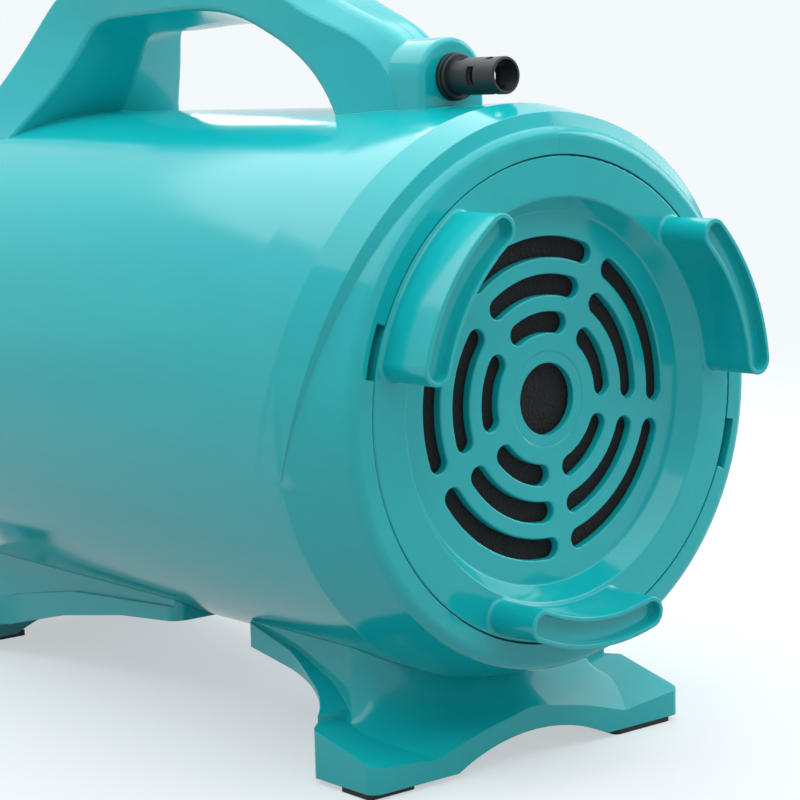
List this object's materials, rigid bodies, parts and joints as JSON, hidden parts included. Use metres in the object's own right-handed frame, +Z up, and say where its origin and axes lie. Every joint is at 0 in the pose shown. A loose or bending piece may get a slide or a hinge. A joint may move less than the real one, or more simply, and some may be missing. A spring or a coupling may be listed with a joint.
{
  "type": "pet dryer",
  "caption": "Portable pet-grooming blower with a carry handle, twist-off filtered intake cover, round hose outlet, rubber-padded feet and speed and heat controls.",
  "frame": {"origin": "on the floor under the middle of the dryer: half way along its length, on the mid-plane, level with the undersides of the foot pads", "axes": "+X from the hose outlet towards the intake cover, +Y to the right-hand side as seen from behind the intake cover facing the outlet, +Z up"},
  "size_m": [0.4314, 0.1904, 0.2763],
  "materials": {
    "turquoise_abs": "gloss",
    "black_rubber": "matte",
    "black_foam": "open-cell foam",
    "grey_foam": "open-cell foam",
    "black_plastic": "fine texture",
    "black_gloss_plastic": "gloss",
    "zinc_steel": "zinc plated",
    "lamination_steel": "stacked sheet",
    "cast_aluminium": "cast",
    "copper_winding": "enamelled wire",
    "copper_bars": "turned copper",
    "carbon": "pressed carbon",
    "brass_holder": "drawn sheet",
    "mica": "mica sheet",
    "heating_wire": "oxidised wire",
    "circuit_board": "solder mask"
  },
  "bodies": {
    "casing": {"acoustic_liner": "grey_foam", "bearing_front": "zinc_steel", "bearing_rear": "zinc_steel", "brush_bracket": "black_plastic", "brush_holders": "brass_holder", "brush_springs": "zinc_steel", "brushes": "carbon", "bulkhead": "black_plastic", "clamp_screws": "zinc_steel", "control_panel": "black_plastic", "cord_clamp": "black_plastic", "diffuser": "cast_aluminium", "field_coils": "copper_winding", "foot_pad_front_left": "black_rubber", "foot_pad_front_right": "black_rubber", "foot_pad_rear_left": "black_rubber", "foot_pad_rear_right": "black_rubber", "foot_screws": "zinc_steel", "front_foot": "turquoise_abs", "heat_sink": "cast_aluminium", "heat_switch": "black_plastic", "heater_coils": "heating_wire", "heater_frame": "mica", "heater_shield": "zinc_steel", "housing_left": "turquoise_abs", "housing_right": "turquoise_abs", "housing_screws": "zinc_steel", "motor_can": "zinc_steel", "motor_frame": "cast_aluminium", "motor_ring_front": "black_rubber", "motor_ring_rear": "black_rubber", "motor_spider": "black_plastic", "nose_cap": "black_plastic", "outlet_collar": "black_plastic", "outlet_guard": "zinc_steel", "pot_nut": "zinc_steel", "power_switch": "black_plastic", "rear_foot": "turquoise_abs", "speed_board": "circuit_board", "speed_pot": "black_plastic", "stator_core": "lamination_steel", "strain_relief": "black_rubber", "thermal_cutout": "black_plastic", "triac": "black_plastic"},
    "cover": {"intake_cover": "turquoise_abs", "filter_foam": "black_foam", "filter_grid": "black_plastic"},
    "rotor": {"impeller_1": "cast_aluminium", "impeller_2": "cast_aluminium", "rotor_shaft": "zinc_steel", "rotor_core": "lamination_steel", "rotor_coils": "copper_winding", "commutator": "copper_bars"},
    "knob": {"speed_knob": "black_plastic", "pot_shaft": "zinc_steel"},
    "power_button": {"power_rocker": "black_gloss_plastic"},
    "heat_button": {"heat_rocker": "black_gloss_plastic"}
  },
  "joints": [
    {"name": "cover_twist", "type": "hinge", "parent": "casing", "child": "cover", "pos_m": [0.19, 0, 0.122], "axis": [1, 0, 0], "range_deg": [0, 22]},
    {"name": "rotor_spin", "type": "hinge", "parent": "casing", "child": "rotor", "pos_m": [0.06, 0, 0.122], "axis": [1, 0, 0], "continuous": true},
    {"name": "knob_turn", "type": "hinge", "parent": "casing", "child": "knob", "pos_m": [-0.0812, 0, 0.24543], "axis": [0.8039, 0, -0.5948], "range_deg": [-140, 140]},
    {"name": "power_rock", "type": "hinge", "parent": "casing", "child": "power_button", "pos_m": [-0.09302, -0.0096, 0.22744], "axis": [0, -1, 0], "range_deg": [0, 20]},
    {"name": "heat_rock", "type": "hinge", "parent": "casing", "child": "heat_button", "pos_m": [-0.09302, 0.0096, 0.22744], "axis": [0, -1, 0], "range_deg": [0, 20]}
  ]
}
